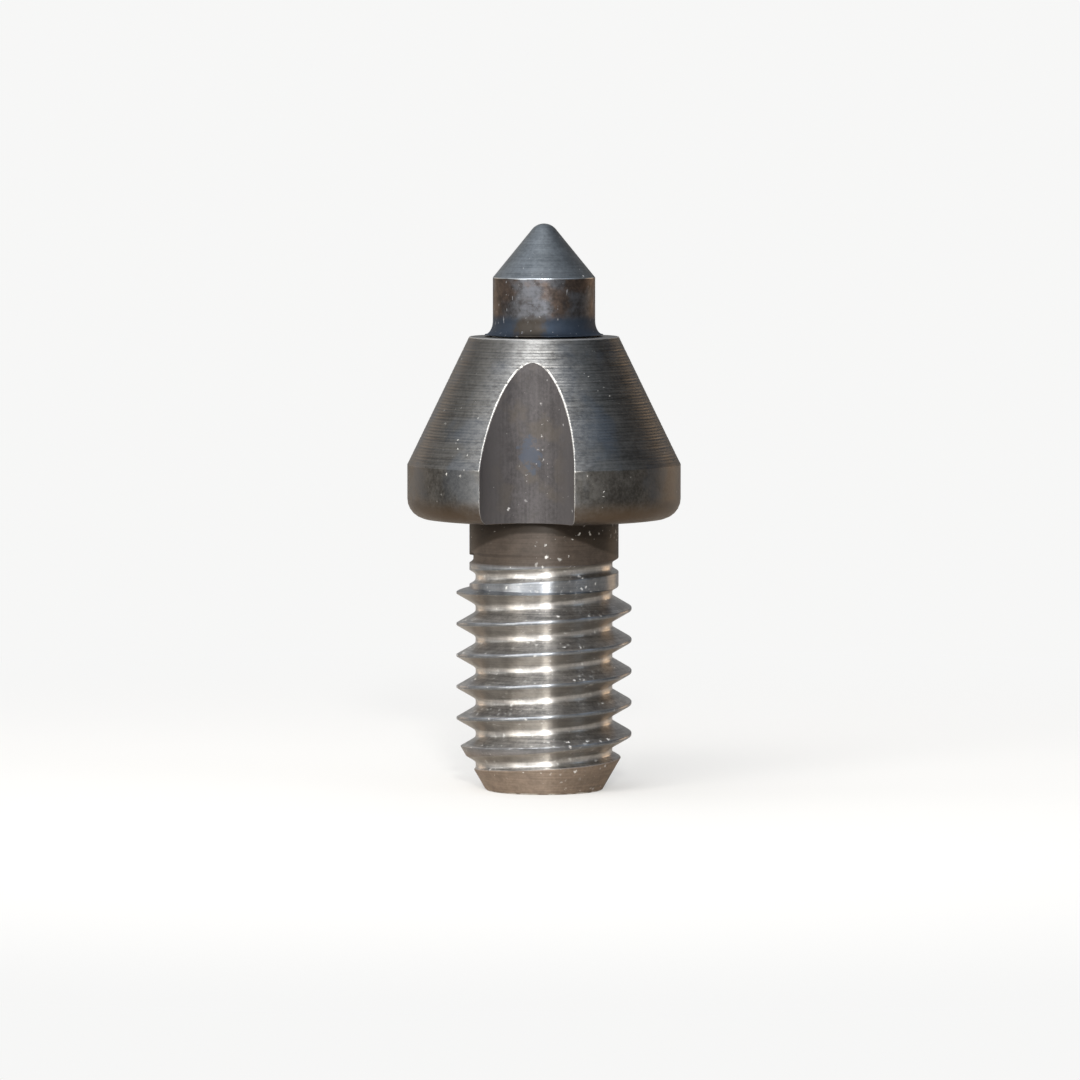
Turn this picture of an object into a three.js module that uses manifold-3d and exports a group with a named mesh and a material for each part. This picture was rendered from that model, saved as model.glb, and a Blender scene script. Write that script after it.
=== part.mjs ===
// Miniature live centre with a threaded shank: a hardened point turns on two small ball
// bearings inside a conical nose housing, backed by a thrust ball in the bored shank.
// Millimetres, +Z along the axis towards the point, origin at the middle of the shank's end face.
import * as THREE from "three";
import { mergeVertices } from "three/addons/utils/BufferGeometryUtils.js";
import Module from "manifold-3d";

const wasm = await Module();
wasm.setup();

// Driving dimensions
const overallLength = 25.4;
const pitch = 25.4 / 18; // 18 threads to the inch
const majorRadius = 3.93;
const rootRadius = 3.09;
const neckRadius = 3.345;
const headRadius = 6.125;
const headBottom = 12.2;
const headTop = 20.35;
const pilotRadius = 2.29;
const boreRadius = 3.02; // bearing bore of the nose housing
const shankBoreRadius = 1.8;
const gap = 0.02; // running and seating clearance between neighbours

// Shank and its thread
const endFaceRadius = 2.62;
const chamferSlope = Math.sqrt(3); // the end chamfer and the centre hole stand 60 degrees to the face
const threadTop = 8.95;
const neckStart = 9.1;
const threadFlank = Math.tan(Math.PI / 6);
const crestZAtX = 8.13; // height of one thread crest where it crosses the +X side
const grooveOverrun = 0.055; // how far the groove's mouth stands outside the crests
const grooveTurnsBelow = 8; // turns of the groove below that crest, past the end face
const feedTurns = 0.45; // turns above it at full feed, after which the tool's travel slows down
const slowTurns = 1.6; // turns that it takes to stop, which end in a ring round the neck
const narrowFrom = 0.66; // the mouth shrinks to the neck's radius between these turns
const narrowTo = 0.9;
const runoutTurns = 0.7; // last turns, over which the tool backs out
const runoutLift = 0.4;
const spigotTop = 14.7;
const spigotRadius = boreRadius - 2 * gap;
const shankBoreBottom = 3.0;
const clipRecessRadius = 2.3;
const clipRecessDepth = 0.4;
const centreDrillRadius = 0.6;

// Nose housing
const registerDepth = 0.3; // shallow counterbore that seats on the neck's shoulder
const bandTop = 14.63;
const rimRound = 0.9;
const lipBottom = 19.5;
const sealSeatZ = 19.95;
const sealSeatRadius = 2.45;
const lipRadius = 2.0;
const scallopRadius = 2.11;
const scallopOffset = 5.95; // from the axis to the middle of each spanner scallop

// Point and its spindle
const coneHalfAngle = THREE.MathUtils.degToRad(39.2);
const tipRound = 0.69;
const flareRadius = 2.65; // the dust skirt that covers the seal
const flareRim = 0.03;
const flareHeight = 0.62;
const flareBottom = headTop + 0.07;
const hubRadius = 1.85;
const journalRadius = 1.48;
const tailRadius = 1.25;

// Ball bearings, 3 x 6 x 2 mm
const bearingBore = 1.5;
const bearingOuter = 3.0;
const bearingWidth = 2.0;
const frontBearingTop = lipBottom - gap;
const spacerWidth = 0.34;
const rearBearingTop = frontBearingTop - bearingWidth - spacerWidth - 2 * gap;
const rearBearingBottom = rearBearingTop - bearingWidth;
const ballRadius = 0.5;
const ballPitchRadius = 2.25;
const ballCount = 8;
const innerLand = 1.95;
const outerLand = 2.55;
const raceGap = 0.03;
const cageInner = 2.07;
const cageOuter = 2.43;
const cageHalfWidth = 0.7;
const pocketRadius = 0.56;

// Snap ring below the rear bearing
const clipGap = 0.03;
const clipThickness = 0.26;
const clipOuterRadius = 2.08;
const clipGrooveDepth = 0.05;
const clipOpening = THREE.MathUtils.degToRad(44);
const clipTop = rearBearingBottom - 2 * clipGap;
const clipBottom = clipTop - clipThickness;

// Wave washer under the rear bearing's outer ring
const waveInner = 2.6;
const waveOuter = 2.95;
const waveThickness = 0.12;
const waveHeight = 0.1;
const waveCount = 3;

// Rear support
const bushBottom = 6.6;
const bushLength = 5.2;
const bushGap = 0.03;
const thrustBallRadius = 1.19;
const seatTop = 3.9;
const dishDepth = 0.25;
const thrustBallZ = seatTop - dishDepth + thrustBallRadius + 2 * gap;

// How finely round shapes are divided
const headSegments = 64;
const spindleSegments = 40;
const roundSegments = 32;
const raceSteps = 4;
const roundSteps = 5; // along a rounded rim or dish
const pocketSides = 10;
const ballSlices = 10;
const ballStacks = 7;

const blackSteel = new THREE.MeshStandardMaterial({ color: 0x34332f, roughness: 0.38, metalness: 0.9 });
const pointSteel = new THREE.MeshStandardMaterial({ color: 0x3a3c40, roughness: 0.42, metalness: 0.85 });
const brightSteel = new THREE.MeshStandardMaterial({ color: 0x9c958a, roughness: 0.25, metalness: 1 });
const bearingSteel = new THREE.MeshStandardMaterial({ color: 0xb9bcc0, roughness: 0.15, metalness: 1 });
const springSteel = new THREE.MeshStandardMaterial({ color: 0x6d7278, roughness: 0.35, metalness: 1 });
const brass = new THREE.MeshStandardMaterial({ color: 0xb58a45, roughness: 0.35, metalness: 1 });
const bronze = new THREE.MeshStandardMaterial({ color: 0x9a6a3a, roughness: 0.5, metalness: 0.9 });
const felt = new THREE.MeshStandardMaterial({ color: 0x4a443c, roughness: 0.95, metalness: 0 });

const part = new THREE.Group();

function add(name, geometry, material) {
  const mesh = new THREE.Mesh(geometry, material);
  mesh.name = name;
  part.add(mesh);
  return mesh;
}

// Revolves a profile of [radius, height] points, drawn with the material on its left, about Z.
// A radius that rounding left a hair off the axis is put back on it.
function turn(profile, segments) {
  const onAxis = 1e-9;
  const points = profile.map(
    ([radius, height]) => new THREE.Vector2(Math.abs(radius) < onAxis ? 0 : radius, height),
  );
  const geometry = new THREE.LatheGeometry(points, segments);
  geometry.rotateX(Math.PI / 2);
  return geometry;
}

function ring(innerRadius, outerRadius, bottom, top, segments = spindleSegments) {
  return turn(
    [
      [innerRadius, bottom],
      [outerRadius, bottom],
      [outerRadius, top],
      [innerRadius, top],
      [innerRadius, bottom],
    ],
    segments,
  );
}

// Points of an arc about [radius, height], from one angle to another in degrees.
function arc(radius, height, arcRadius, from, to, steps) {
  return Array.from({ length: steps + 1 }, (_, i) => {
    const angle = THREE.MathUtils.degToRad(from + ((to - from) * i) / steps);
    return [radius + arcRadius * Math.cos(angle), height + arcRadius * Math.sin(angle)];
  });
}

function solid(geometry) {
  const bare = geometry.index ? geometry.toNonIndexed() : geometry.clone();
  bare.deleteAttribute("normal");
  bare.deleteAttribute("uv");
  const merged = mergeVertices(bare, 1e-4);
  return new wasm.Manifold(
    new wasm.Mesh({
      numProp: 3,
      vertProperties: merged.attributes.position.array,
      triVerts: new Uint32Array(merged.index.array),
    }),
  );
}

function geometryOf(manifold) {
  const mesh = manifold.getMesh();
  const geometry = new THREE.BufferGeometry();
  geometry.setAttribute("position", new THREE.BufferAttribute(mesh.vertProperties, 3));
  geometry.setIndex(new THREE.BufferAttribute(mesh.triVerts, 1));
  return geometry;
}

// Sweeps a section of [radius, height] points round Z, from one turn to another. Its shape and place
// may differ from turn to turn.
function sweepRound(sectionAt, fromTurn, toTurn, stepsPerTurn) {
  const steps = Math.round((toTurn - fromTurn) * stepsPerTurn);
  const count = sectionAt(fromTurn).length;
  const positions = [];
  const indices = [];
  for (let i = 0; i <= steps; i += 1) {
    const turns = fromTurn + ((toTurn - fromTurn) * i) / steps;
    const angle = turns * 2 * Math.PI;
    for (const [radius, height] of sectionAt(turns)) {
      positions.push(radius * Math.cos(angle), radius * Math.sin(angle), height);
    }
  }
  for (let i = 0; i < steps; i += 1) {
    for (let j = 0; j < count; j += 1) {
      const a = i * count + j;
      const b = i * count + ((j + 1) % count);
      indices.push(a, b + count, b, a, a + count, b + count);
    }
  }
  const outline = sectionAt(fromTurn).map(([radius, height]) => new THREE.Vector2(radius, height));
  for (const [a, b, c] of THREE.ShapeUtils.triangulateShape(outline, [])) {
    const last = steps * count;
    indices.push(a, b, c, last + a, last + c, last + b);
  }
  const geometry = new THREE.BufferGeometry();
  geometry.setAttribute("position", new THREE.Float32BufferAttribute(positions, 3));
  geometry.setIndex(indices);
  return geometry;
}

// The V groove that a threading tool leaves. Above the thread its travel slows down, so that the groove
// closes into a ring round the neck, and the tool backs out of it.
function threadGroove() {
  const rootHalf = pitch / 8;
  const rootZAtX = crestZAtX + pitch / 2;
  const lastTurn = feedTurns + slowTurns;
  const sectionAt = (turns) => {
    const slowed = Math.max(0, turns - feedTurns);
    const middle = rootZAtX + pitch * (turns - (slowed * slowed) / (2 * slowTurns));
    const backedOut = Math.max(0, 1 - (lastTurn - turns) / runoutTurns);
    const floor = rootRadius + backedOut * runoutLift;
    const narrowed = THREE.MathUtils.clamp((turns - narrowFrom) / (narrowTo - narrowFrom), 0, 1);
    const mouthRadius = THREE.MathUtils.lerp(majorRadius, neckRadius, narrowed) + grooveOverrun;
    const mouth = Math.max(mouthRadius, floor + grooveOverrun);
    const mouthHalf = rootHalf + (mouth - floor) * threadFlank;
    return [
      [floor, middle - rootHalf],
      [mouth, middle - mouthHalf],
      [mouth, middle + mouthHalf],
      [floor, middle + rootHalf],
    ];
  };
  return sweepRound(sectionAt, -grooveTurnsBelow, lastTurn, roundSegments);
}

function threadedShank() {
  const blank = turn(
    [
      [0, centreDrillRadius * chamferSlope],
      [centreDrillRadius, 0],
      [endFaceRadius, 0],
      [majorRadius, (majorRadius - endFaceRadius) * chamferSlope],
      [majorRadius, threadTop],
      [neckRadius, neckStart],
      [neckRadius, headBottom + registerDepth - gap],
      [spigotRadius, headBottom + registerDepth - gap],
      [spigotRadius, spigotTop],
      [clipRecessRadius, spigotTop],
      [clipRecessRadius, spigotTop - clipRecessDepth],
      [shankBoreRadius, spigotTop - clipRecessDepth],
      [shankBoreRadius, shankBoreBottom],
      [0, shankBoreBottom],
    ],
    roundSegments,
  );
  return geometryOf(solid(blank).subtract(solid(threadGroove())));
}

function noseHousing() {
  const body = solid(
    turn(
      [
        [boreRadius, headBottom + registerDepth],
        [neckRadius + gap, headBottom + registerDepth],
        [neckRadius + gap, headBottom],
        ...arc(headRadius - rimRound, headBottom + rimRound, rimRound, -90, 0, roundSteps),
        [headRadius, bandTop],
        [neckRadius, headTop],
        [sealSeatRadius, headTop],
        [sealSeatRadius, sealSeatZ],
        [lipRadius, sealSeatZ],
        [lipRadius, lipBottom],
        [boreRadius, lipBottom],
        [boreRadius, headBottom + registerDepth],
      ],
      headSegments,
    ),
  );
  const height = 2 * (headTop - headBottom);
  const middle = (headTop + headBottom) / 2;
  return geometryOf(
    [-1, 1].reduce((left, side) => {
      const cutter = new THREE.CylinderGeometry(scallopRadius, scallopRadius, height, spindleSegments);
      cutter.rotateX(Math.PI / 2);
      cutter.translate(0, side * scallopOffset, middle);
      return left.subtract(solid(cutter));
    }, body),
  );
}

// Concave sweep from the thin rim of the dust skirt up to the pilot.
function flareCurve() {
  const steps = 4;
  return Array.from({ length: steps + 1 }, (_, i) => {
    const angle = ((Math.PI / 2) * i) / steps;
    return [
      flareRadius - (flareRadius - pilotRadius) * Math.sin(angle),
      flareBottom + flareRim + flareHeight * (1 - Math.cos(angle)),
    ];
  });
}

function centerPoint() {
  const grooveRadius = tailRadius - clipGrooveDepth;
  const tailEnd = thrustBallZ + thrustBallRadius + gap;
  const coneTangentRadius = tipRound * Math.cos(coneHalfAngle);
  const coneTangentZ = overallLength - tipRound + tipRound * Math.sin(coneHalfAngle);
  const coneBaseZ = coneTangentZ - (pilotRadius - coneTangentRadius) / Math.tan(coneHalfAngle);
  const topAngle = THREE.MathUtils.radToDeg(coneHalfAngle);
  return turn(
    [
      [0, tailEnd],
      [tailRadius, tailEnd],
      [tailRadius, clipBottom - clipGap],
      [grooveRadius, clipBottom - clipGap],
      [grooveRadius, clipTop + clipGap],
      [journalRadius, clipTop + clipGap],
      [journalRadius, frontBearingTop + gap],
      [hubRadius, frontBearingTop + gap],
      [hubRadius, flareBottom],
      [flareRadius, flareBottom],
      ...flareCurve(),
      [pilotRadius, coneBaseZ],
      ...arc(0, overallLength - tipRound, tipRound, topAngle, 90, roundSteps),
    ],
    spindleSegments,
  );
}

// Half the height at which the race groove meets the land.
const raceRadius = ballRadius + raceGap;
const innerRaceReach = Math.sqrt(raceRadius ** 2 - (ballPitchRadius - innerLand) ** 2);
const outerRaceReach = Math.sqrt(raceRadius ** 2 - (outerLand - ballPitchRadius) ** 2);

function innerRing(top) {
  const middle = top - bearingWidth / 2;
  const reach = THREE.MathUtils.radToDeg(Math.asin(innerRaceReach / raceRadius));
  return turn(
    [
      [bearingBore, top - bearingWidth],
      [innerLand, top - bearingWidth],
      ...arc(ballPitchRadius, middle, raceRadius, 180 + reach, 180 - reach, raceSteps),
      [innerLand, top],
      [bearingBore, top],
      [bearingBore, top - bearingWidth],
    ],
    roundSegments,
  );
}

function outerRing(top) {
  const middle = top - bearingWidth / 2;
  const reach = THREE.MathUtils.radToDeg(Math.asin(outerRaceReach / raceRadius));
  return turn(
    [
      [outerLand, top - bearingWidth],
      [bearingOuter, top - bearingWidth],
      [bearingOuter, top],
      [outerLand, top],
      ...arc(ballPitchRadius, middle, raceRadius, reach, -reach, raceSteps),
      [outerLand, top - bearingWidth],
    ],
    roundSegments,
  );
}

function ballAngles() {
  return Array.from({ length: ballCount }, (_, i) => (2 * Math.PI * i) / ballCount);
}

// A turned ring between the lands, with one round pocket drilled through for each ball.
function cage(top) {
  const middle = top - bearingWidth / 2;
  const bottom = middle - cageHalfWidth;
  const blank = solid(ring(cageInner, cageOuter, bottom, bottom + 2 * cageHalfWidth, roundSegments));
  return geometryOf(
    ballAngles().reduce((left, angle) => {
      const depth = 2 * (cageOuter - cageInner);
      const pocket = new THREE.CylinderGeometry(pocketRadius, pocketRadius, depth, pocketSides);
      pocket.rotateZ(Math.PI / 2);
      pocket.translate(ballPitchRadius, 0, middle);
      pocket.rotateZ(angle);
      return left.subtract(solid(pocket));
    }, blank),
  );
}

function ballBearing(name, top) {
  const middle = top - bearingWidth / 2;
  add(`${name}_outer_ring`, outerRing(top), bearingSteel);
  add(`${name}_inner_ring`, innerRing(top), bearingSteel);
  add(`${name}_cage`, cage(top), brass);
  ballAngles().forEach((angle, i) => {
    const geometry = new THREE.SphereGeometry(ballRadius, ballSlices, ballStacks);
    const ball = add(`${name}_ball_${i + 1}`, geometry, bearingSteel);
    ball.position.set(ballPitchRadius * Math.cos(angle), ballPitchRadius * Math.sin(angle), middle);
  });
}

// A thin ring with three waves, squeezed between the spigot and the rear bearing's outer ring.
function waveWasher() {
  const bottom = (spigotTop + rearBearingBottom - waveThickness) / 2;
  const geometry = ring(waveInner, waveOuter, bottom, bottom + waveThickness);
  const position = geometry.attributes.position;
  for (let i = 0; i < position.count; i += 1) {
    const angle = Math.atan2(position.getY(i), position.getX(i));
    position.setZ(i, position.getZ(i) + waveHeight * Math.sin(waveCount * angle));
  }
  return geometry;
}

// An open snap ring in the spindle's groove, just below the rear bearing.
function retainingRing() {
  const start = clipOpening / 2;
  const end = 2 * Math.PI - start;
  const shape = new THREE.Shape();
  shape.absarc(0, 0, clipOuterRadius, start, end, false);
  shape.absarc(0, 0, tailRadius - gap, end, start, true);
  shape.closePath();
  const geometry = new THREE.ExtrudeGeometry(shape, {
    depth: clipThickness,
    bevelEnabled: false,
    curveSegments: roundSegments,
  });
  geometry.translate(0, 0, clipBottom);
  return geometry;
}

function thrustSeat() {
  const dishRadius = thrustBallRadius + 2 * gap;
  const rimAngle = THREE.MathUtils.radToDeg(Math.acos((dishRadius - dishDepth) / dishRadius));
  return turn(
    [
      [0, shankBoreBottom + gap],
      [shankBoreRadius - 2 * gap, shankBoreBottom + gap],
      [shankBoreRadius - 2 * gap, seatTop],
      ...arc(0, thrustBallZ, dishRadius, rimAngle - 90, -90, roundSteps),
    ],
    roundSegments,
  );
}

add("threaded_shank", threadedShank(), brightSteel);
add("nose_housing", noseHousing(), blackSteel);
add("center_point", centerPoint(), pointSteel);
add("nose_seal", ring(hubRadius + gap, sealSeatRadius - gap, sealSeatZ + gap, headTop - gap), felt);
ballBearing("front_bearing", frontBearingTop);
ballBearing("rear_bearing", rearBearingTop);

const spacerTop = frontBearingTop - bearingWidth - gap;
add("outer_spacer", ring(outerLand, bearingOuter - gap, spacerTop - spacerWidth, spacerTop), springSteel);
add("inner_spacer", ring(bearingBore, innerLand, spacerTop - spacerWidth, spacerTop), springSteel);
add("wave_washer", waveWasher(), springSteel);
add("retaining_ring", retainingRing(), springSteel);
add(
  "rear_bush",
  ring(
    tailRadius + bushGap,
    shankBoreRadius - bushGap,
    bushBottom,
    bushBottom + bushLength,
    roundSegments,
  ),
  bronze,
);
add("thrust_seat", thrustSeat(), bearingSteel);
const thrustBallShape = new THREE.SphereGeometry(thrustBallRadius, 2 * ballSlices, 2 * ballStacks);
add("thrust_ball", thrustBallShape, bearingSteel).position.z = thrustBallZ;

export default part;
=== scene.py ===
from math import acos, atan2, ceil, copysign, cos, exp, hypot, pi, radians, sin, sqrt, tan

import bmesh
import bpy
import numpy as np
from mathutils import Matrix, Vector


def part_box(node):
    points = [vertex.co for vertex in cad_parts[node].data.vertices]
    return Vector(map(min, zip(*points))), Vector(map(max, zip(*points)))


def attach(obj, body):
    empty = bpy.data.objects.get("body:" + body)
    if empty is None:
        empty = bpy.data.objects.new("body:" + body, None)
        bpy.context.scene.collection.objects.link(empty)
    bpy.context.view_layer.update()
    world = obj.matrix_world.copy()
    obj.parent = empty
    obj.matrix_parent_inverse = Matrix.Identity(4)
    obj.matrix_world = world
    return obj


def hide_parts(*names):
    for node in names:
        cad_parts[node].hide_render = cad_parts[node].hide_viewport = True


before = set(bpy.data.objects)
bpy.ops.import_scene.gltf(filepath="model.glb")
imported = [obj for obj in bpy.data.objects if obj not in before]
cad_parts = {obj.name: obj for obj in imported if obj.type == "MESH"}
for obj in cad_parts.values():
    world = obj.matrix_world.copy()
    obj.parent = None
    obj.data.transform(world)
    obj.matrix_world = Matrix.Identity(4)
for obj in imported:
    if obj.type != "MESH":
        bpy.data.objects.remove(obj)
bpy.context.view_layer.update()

mm = 0.001  # every length below is in millimetres until a mesh or a tree takes it
fullTurn = 2 * pi
fit = 0.02  # clearance between neighbouring pieces

# the head's outline, which its finishes follow too
bandTop = 14.63
scallopRadius = 2.11
scallopOffset = 5.95  # from the axis to the middle of each scallop


def boxOf(node):
    low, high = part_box(node)
    return low / mm, high / mm


def roundCorners(corners, steps=4, guard=0.06):
    # Corners are (radius, height, fillet, wear). A fillet becomes an arc with a guard point on both
    # sides, so that its wear doesn't run out along the faces beside it.
    outline = []
    for i, (radius, height, fillet, worn) in enumerate(corners):
        here = Vector((radius, height))
        if not fillet:
            outline.append((radius, height, worn))
            continue
        before = (Vector(corners[i - 1][:2]) - here).normalized()
        after = (Vector(corners[(i + 1) % len(corners)][:2]) - here).normalized()
        half = before.angle(after) / 2
        reach = fillet / tan(half)
        centre = here + (before + after).normalized() * fillet / sin(half)
        start = here + before * reach - centre
        turn = start.angle_signed(here + after * reach - centre)
        if worn:
            outline.append((*(here + before * (reach + guard)), 0))
        for step in range(steps + 1):
            c, s = cos(turn * step / steps), sin(turn * step / steps)
            outline.append((*(centre + Vector((start.x * c + start.y * s, start.y * c - start.x * s))), worn))
        if worn:
            outline.append((*(here + after * (reach + guard)), 0))
    return outline


def ringCorners(inner, outer, low, high, rounding, wear=0.5):
    return [(radius, height, rounding, wear)
            for radius, height in ((inner, low), (outer, low), (outer, high), (inner, high))]


def divide(outline, stepAt, closed=True):
    # Cuts long stretches of an outline into pieces no longer than stepAt says for their middle.
    finer = []
    count = len(outline)
    for i in range(count if closed else count - 1):
        a, b = np.array(outline[i]), np.array(outline[(i + 1) % count])
        pieces = max(1, ceil(np.hypot(*(b - a)[:2]) / stepAt(*((a + b) / 2)[:2]) - 1e-6))
        finer += [tuple(a + (b - a) * k / pieces) for k in range(pieces)]
    return finer if closed else finer + [outline[-1]]


def bridge(a, b, count):
    # Quads between two rings of points that start at a and b.
    return [(a + k, a + (k + 1) % count, b + (k + 1) % count, b + k) for k in range(count)]


def polar(radius, angle, height):
    return radius * cos(angle), radius * sin(angle), height


def revolve(outline, segments, closed=True):
    # Turns an outline of (radius, height, wear) about the axis. An open one starts and ends on the axis.
    angles = np.arange(segments) * fullTurn / segments
    circle = np.stack([np.cos(angles), np.sin(angles)], 1)
    points, wear, rings, faces = [], [], [], []
    for radius, height, worn in outline:
        onAxis = radius < 1e-6
        rings.append((len(points), onAxis))
        points += [(0, 0, height)] if onAxis else [(radius * c, radius * s, height) for c, s in circle]
        wear += [worn] * (1 if onAxis else segments)
    for i in range(len(rings) if closed else len(rings) - 1):
        (a, aPoint), (b, bPoint) = rings[i], rings[(i + 1) % len(rings)]
        if aPoint != bPoint:
            faces += [(a, *face[2:]) if aPoint else (*face[:2], b) for face in bridge(a, b, segments)]
        elif not aPoint:
            faces += bridge(a, b, segments)
    return points, faces, wear


def sharpen(piece, degrees):
    piece.data.set_sharp_from_angle(angle=radians(degrees))


def storeNumbers(mesh, name, values):
    mesh.attributes.new(name, "FLOAT", "POINT").data.foreach_set("value", np.array(values, np.float32))


def addObject(name, data):
    made = bpy.data.objects.new(name, data)
    bpy.context.scene.collection.objects.link(made)
    return made


def makePiece(name, points, faces, wear=None):
    mesh = bpy.data.meshes.new(name)
    mesh.from_pydata((np.array(points) * mm).tolist(), [], faces)
    if wear is not None:
        storeNumbers(mesh, "wear", wear)
    mesh.validate()
    mesh.shade_smooth()
    piece = addObject(name, mesh)
    sharpen(piece, 40)
    return piece


def closePiece(piece, milled=None, distance=1e-4 * mm):
    # Joins points that lie together, drops what that leaves without area and turns the faces outwards.
    work = bmesh.new()
    work.from_mesh(piece.data)
    if milled is not None:
        for face, isMilled in zip(work.faces, milled):
            face.material_index = int(isMilled)
    bmesh.ops.remove_doubles(work, verts=work.verts, dist=distance)
    bmesh.ops.dissolve_degenerate(work, edges=work.edges, dist=distance)
    bmesh.ops.recalc_face_normals(work, faces=work.faces)
    loose = sum(not edge.is_manifold for edge in work.edges)
    if work.calc_volume(signed=True) < 0:
        bmesh.ops.reverse_faces(work, faces=work.faces)
    work.to_mesh(piece.data)
    work.free()
    print(piece.name, len(piece.data.polygons), "faces,", loose, "edges not closed")
    return piece


def turnPiece(name, outline, segments, closed=True):
    return closePiece(makePiece(name, *revolve(outline, segments, closed)))


def finishPiece(piece, body, slot, nodes, *finishNames):
    faces = piece.data.polygons
    kept = np.zeros(len(faces), np.int32)
    faces.foreach_get("material_index", kept)
    piece.data.materials.clear()
    for name in finishNames:
        piece.data.materials.append(finishes[name])
    faces.foreach_set("material_index", kept)
    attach(piece, body)
    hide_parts(*nodes)


class Wire:
    # What a socket gives out. Arithmetic on it adds Math nodes to the same tree.
    def __init__(self, socket):
        self.socket, self.tree = socket, socket.id_data

    def __add__(self, other):
        return calc("ADD", self, other)

    def __sub__(self, other):
        return calc("SUBTRACT", self, other)

    def __rsub__(self, other):
        return calc("SUBTRACT", other, self)

    def __mul__(self, other):
        return calc("MULTIPLY", self, other)

    def __truediv__(self, other):
        return calc("DIVIDE", self, other)


class Outputs:
    # A node's outputs as wires, by name or number, or unpacked in order.
    def __init__(self, sockets):
        self.sockets = sockets

    def __getitem__(self, key):
        return Wire(self.sockets[key])


def feed(node, inputs):
    for key, value in inputs.items():
        socket = node.inputs[key]
        if isinstance(value, Wire):
            value.tree.links.new(value.socket, socket)
        elif value is not None:
            socket.default_value = (*value, 1) if socket.type == "RGBA" else value


def addNode(tree, kind, inputs=None, **settings):
    node = tree.nodes.new(kind)
    for name, value in settings.items():
        setattr(node, name, value)
    feed(node, inputs or {})
    return Outputs(node.outputs)


def treeOf(*values):
    return next(value.tree for value in values if isinstance(value, Wire))


def calc(operation, *values):
    return addNode(treeOf(*values), "ShaderNodeMath", dict(enumerate(values)), operation=operation)[0]


def vectorCalc(operation, *values):
    return addNode(treeOf(*values), "ShaderNodeVectorMath", dict(enumerate(values)), operation=operation)


def split(vector):
    return addNode(vector.tree, "ShaderNodeSeparateXYZ", {0: vector})


def between(value, low, high):
    # 0 below low, 1 above high and smooth between them. With low above high it runs the other way.
    inputs = {"Value": value, "From Min": low, "From Max": high}
    return addNode(value.tree, "ShaderNodeMapRange", inputs, interpolation_type="SMOOTHSTEP")["Result"]


def blendColours(share, first, second):
    inputs = {0: share, 6: first, 7: second}
    return addNode(treeOf(share, first, second), "ShaderNodeMix", inputs, data_type="RGBA")[2]


def blendNumbers(share, first, second):
    inputs = {0: share, 2: first, 3: second}
    return addNode(treeOf(share, first, second), "ShaderNodeMix", inputs, data_type="FLOAT")[0]


def paint(colour, *layers):
    # Lays colours over each other in turn, each through its own mask.
    for mask, tint in layers:
        colour = blendColours(mask, colour, tint)
    return colour


def scaled(colour, factor):
    return addNode(factor.tree, "ShaderNodeVectorMath", {0: colour, "Scale": factor}, operation="SCALE")[0]


def noise(place, scale, detail=2.0, stretch=None, roughness=0.5, output="Fac"):
    if stretch:
        place = addNode(place.tree, "ShaderNodeMapping", {"Vector": place, "Scale": stretch})["Vector"]
    inputs = {"Vector": place, "Scale": scale, "Detail": detail, "Roughness": roughness}
    return addNode(place.tree, "ShaderNodeTexNoise", inputs)[output]


def newTree(name, kind, inputs, *outputs):
    # Each input is given as its default number, or as its kind where that isn't a number.
    tree = bpy.data.node_groups.new(name, kind)
    for label, value in inputs.items():
        sort = value if isinstance(value, str) else "Int" if isinstance(value, int) else "Float"
        socket = tree.interface.new_socket(name=label, in_out="INPUT", socket_type="NodeSocket" + sort)
        if sort != value:
            socket.default_value = value
    for label in outputs:
        sort = "Geometry" if label == "Geometry" else "Float"
        tree.interface.new_socket(name=label, in_out="OUTPUT", socket_type="NodeSocket" + sort)
    return tree, Outputs(tree.nodes.new("NodeGroupInput").outputs), tree.nodes.new("NodeGroupOutput")


def newEffect(name, inputs, *outputs):
    return newTree(name, "ShaderNodeTree", {"Place": "Vector", **inputs}, *outputs)


def newShaper(name, inputs):
    inputs = {"Geometry": "Geometry", **inputs, "Material": "Material"}
    return newTree(name, "GeometryNodeTree", inputs, "Geometry")


def endShaper(tree, given, out, shape):
    whole = addNode(tree, "GeometryNodeRealizeInstances", {"Geometry": shape})[0]
    inputs = {"Geometry": whole, "Material": given["Material"]}
    feed(out, {"Geometry": addNode(tree, "GeometryNodeSetMaterial", inputs)[0]})
    return tree


def runShaper(piece, tree, values):
    # Sets the tree's named inputs by their identifiers, evaluates it and keeps the result as a plain mesh.
    modifier = piece.modifiers.new(tree.name, "NODES")
    modifier.node_group = tree
    for item in tree.interface.items_tree:
        if item.item_type == "SOCKET" and item.in_out == "INPUT" and item.name in values:
            modifier[item.identifier] = values[item.name]
    graph = bpy.context.evaluated_depsgraph_get()
    made = bpy.data.meshes.new_from_object(piece.evaluated_get(graph), depsgraph=graph)
    piece.modifiers.clear()
    old, piece.data = piece.data, made
    bpy.data.meshes.remove(old)
    made.name = piece.name
    return piece


def turnedMarks():
    # Fine rings left by a turning tool: a height for bump, and a streak that runs round the axis.
    tree, given, out = newEffect("turnedMarks", {"Spacing": 0.05, "Unevenness": 0.6}, "Height", "Streak")
    ridge = calc("SINE", split(given["Place"])["Z"] / given["Spacing"] * fullTurn) * 0.5 + 0.5
    streak = noise(given["Place"], 1.0, 3.0, (0.35, 0.35, 15.0))
    strength = blendNumbers(given["Unevenness"], 1.0, streak)
    feed(out, {"Height": ridge * strength + streak, "Streak": streak})
    return tree


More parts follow.
